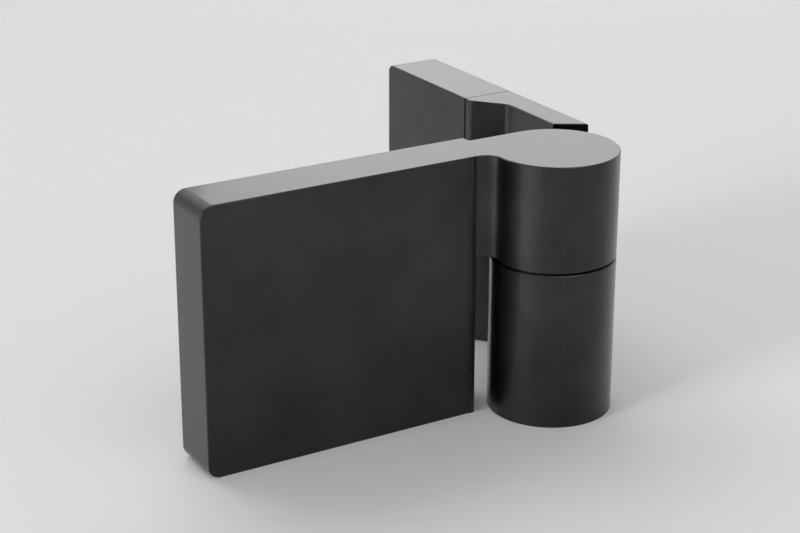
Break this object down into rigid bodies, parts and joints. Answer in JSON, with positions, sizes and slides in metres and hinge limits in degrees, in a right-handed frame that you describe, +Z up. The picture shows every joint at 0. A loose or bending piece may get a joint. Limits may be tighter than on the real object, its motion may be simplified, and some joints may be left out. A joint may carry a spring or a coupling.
{
  "type": "glass door hinge",
  "caption": "Barrel hinge for a glass door: a fixed wall leaf and a door leaf with rounded covers meet in a round two-part knuckle and swing about one upright pin.",
  "frame": {"origin": "on the pin axis, at the foot of the knuckle that the hinge stands on", "axes": "+Z up along the pin; with the leaves at 90 degrees the door leaf points along -X and the fixed leaf along +Y"},
  "size_m": [0.1494, 0.1364, 0.09],
  "materials": {
    "black_casting": "satin black anodised",
    "black_cover": "satin black anodised",
    "pin_steel": "ground stainless steel",
    "screw_steel": "blackened stainless steel",
    "bush_acetal": "turned acetal",
    "plug_plastic": "moulded black plastic",
    "seal_rubber": "black EPDM sheet"
  },
  "bodies": {
    "fixed_side": {"fixed_leaf": "black_casting", "fixed_leaf_cover": "black_cover", "fixed_cover_screw": "screw_steel", "wall_pad": "seal_rubber", "upper_bush": "bush_acetal", "lower_bush": "bush_acetal", "thrust_washer": "plug_plastic", "retaining_washer": "pin_steel", "bottom_plug": "plug_plastic"},
    "door_side": {"door_leaf": "black_casting", "door_leaf_cover": "black_cover", "door_cover_screw": "screw_steel", "glass_gasket": "seal_rubber", "pivot_pin": "pin_steel", "pin_set_screws": "screw_steel", "retaining_ring": "screw_steel"}
  },
  "joints": [
    {"name": "door_swing", "type": "hinge", "parent": "fixed_side", "child": "door_side", "pos_m": [0, 0, 0.045], "axis": [0, 0, 1], "range_deg": [-60, 100]}
  ]
}
